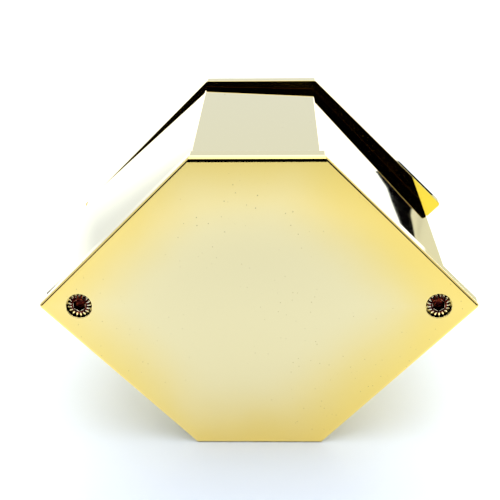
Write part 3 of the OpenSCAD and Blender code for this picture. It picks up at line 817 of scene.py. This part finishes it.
leaning = math2(tree, "ADD", parts[0], math2(tree, "MULTIPLY", parts[1], floorLook["patchSlope"]))
behind = math2(tree, "MULTIPLY", ramp(tree, parts[1], *floorLook["patchFrom"], 0.0, 1.0),
               ramp(tree, leaning, *floorLook["patchLeftOf"], 1.0, 0.0))
whites = mixColour(tree, behind, whites, floorLook["patchColour"])
whites = mixColour(tree, shade, whites, floorLook["shadeColour"])
tree.links.new(whites, shader.inputs["Base Color"])
tree.links.new(ramp(tree, cloud, 0.3, 0.7, *floorLook["rough"]), shader.inputs["Roughness"])
far = floorLook["reach"]
stagePlane("floor", [(-far, -far, 0), (far, -far, 0), (far, far, 0), (-far, far, 0)], floorMaterial)


def cardPaint(name, deep, light):
    # matt paint without any shine, in two close tones
    material, tree, shader, place = newMaterial(name)
    cloud = noise(tree, place, 20.0, 3.0)
    tree.links.new(mixColour(tree, cloud, deep, light), shader.inputs["Base Color"])
    shader.inputs["Roughness"].default_value = 1.0
    shader.inputs["Specular IOR Level"].default_value = 0.0
    return material


cardMaterial = cardPaint("darkCard", (0.0002, 0.0001, 0.0002, 1), (0.0005, 0.0003, 0.0005, 1))
# the dark red card puts a painted maroon reflection in the left side of the block, standing in for gold
# reflecting gold in the dark
maroonReflectionMaterial = cardPaint("paintedMaroonReflectionCard", (0.03, 0.001, 0.001, 1), (0.07, 0.004, 0.003, 1))


def darkCard(name, corners, material=cardMaterial):
    # a dark card that shows only in the polished faces
    made = stagePlane(name, corners, material)
    made.visible_camera = False


def standingCard(name, start, end, tall, material=cardMaterial):
    # an upright card between two places on the floor
    darkCard(name, [(*start, 0), (*end, 0), (*end, tall), (*start, tall)], material)


standingCard("frontCard", (-0.25, -0.30), (0.25, -0.30), 0.24)
standingCard("rightCard", (0.095, -0.15), (0.33, -0.03), 0.05)
standingCard("leftCard", (-0.33, -0.03), (-0.095, -0.15), 0.05, maroonReflectionMaterial)
standingCard("rightCardEnd", (0.088, -0.30), (0.095, -0.15), 0.03)
standingCard("leftCardEnd", (-0.095, -0.15), (-0.088, -0.30), 0.03)

# behind the block on the right: a low dark card cut to a listed outline, and a matt pale sheet round its
# foot
backCard = {"y": 225, "outline": [
    (91, 0), (100, 0), (106, 0.6), (105, 2.7), (106, 3.9), (109, 4.0), (113, 2.8), (119.5, 1.4),
    (117, 4.5), (114, 7.6), (105, 11.7), (98, 14.5), (92, 19), (91, 20)]}
darkCard("backCard", [(x * mm, backCard["y"] * mm, z * mm) for x, z in backCard["outline"]])
# the sheet's olive tone is painted gold-tinted light on the floor behind the block, seen only in the
# polished faces
paintedGoldLightMaterial = cardPaint("paintedGoldLightSheet", (0.50, 0.47, 0.34, 1), (0.54, 0.505, 0.37, 1))
sheet = {"left": 88, "right": 170, "front": 120, "back": 262, "height": 0.3}
sheetCorners = [(sheet[side] * mm, sheet[end] * mm, sheet["height"] * mm) for side, end in (
    ("left", "front"), ("right", "front"), ("right", "back"), ("left", "back"))]
paintedGoldLightSheet = stagePlane("paintedGoldLightSheet", sheetCorners, paintedGoldLightMaterial)
paintedGoldLightSheet.visible_camera = False
paintedGoldLightSheet.visible_shadow = False
paintedGoldLightSheet.visible_diffuse = False

# sky: a soft light that grows overhead, and a glow low behind the block that is weak far to the left
skyLook = {
    "light": (0.87, 0.92, 0.97, 1), "glowColour": (1.0, 1.0, 1.0, 1), "glowStrength": 2.2,
    "level": 0.88, "overhead": 2.15}
world = bpy.data.worlds.new("softStudio")
bpy.context.scene.world = world
world.use_nodes = True
tree = world.node_tree
background = tree.nodes["Background"]
direction = tree.nodes.new("ShaderNodeTexCoord").outputs["Generated"]
parts = addNode(tree, "ShaderNodeSeparateXYZ", None, i0=direction).outputs
glow = math2(tree, "MULTIPLY", ramp(tree, parts[2], 0.06, 0.24, 1.0, 0.0),
             ramp(tree, parts[1], -0.2, 0.6, 0.0, 1.0))
glow = math2(tree, "MULTIPLY", glow, ramp(tree, parts[0], -0.36, -0.22, 0.15, 1.0))
overhead = ramp(tree, parts[2], 0.42, 0.72, skyLook["level"], skyLook["overhead"])
skyColour = mixColour(tree, glow, skyLook["light"], skyLook["glowColour"])
tree.links.new(skyColour, background.inputs["Color"])
strength = math2(tree, "ADD", math2(tree, "MULTIPLY", glow, skyLook["glowStrength"]), overhead)
tree.links.new(strength, background.inputs["Strength"])

bpy.context.scene.view_settings.view_transform = "Standard"
bpy.context.scene.view_settings.look = "None"

camera = {"place": (0.0034, -0.2270, 0.1165), "lens": 85.3, "down": 21.32, "yaw": 1.40, "roll": -0.59}
down, yaw, roll = (math.radians(camera[key]) for key in ("down", "yaw", "roll"))
forward = Vector((-math.sin(yaw) * math.cos(down), math.cos(yaw) * math.cos(down), -math.sin(down)))
right = forward.cross(Vector((0, 0, 1))).normalized()
up = right.cross(forward)
turnedRight = right * math.cos(roll) + up * math.sin(roll)
turnedUp = up * math.cos(roll) - right * math.sin(roll)
lens = bpy.data.cameras.new("camera")
lens.lens = camera["lens"]
lens.sensor_width = 36
lens.clip_start = 0.01
eye = bpy.data.objects.new("camera", lens)
bpy.context.scene.collection.objects.link(eye)
basis = Matrix((turnedRight, turnedUp, -forward)).transposed()
eye.matrix_world = Matrix.Translation(Vector(camera["place"])) @ basis.to_4x4()
bpy.context.scene.camera = eye
print("stage set")
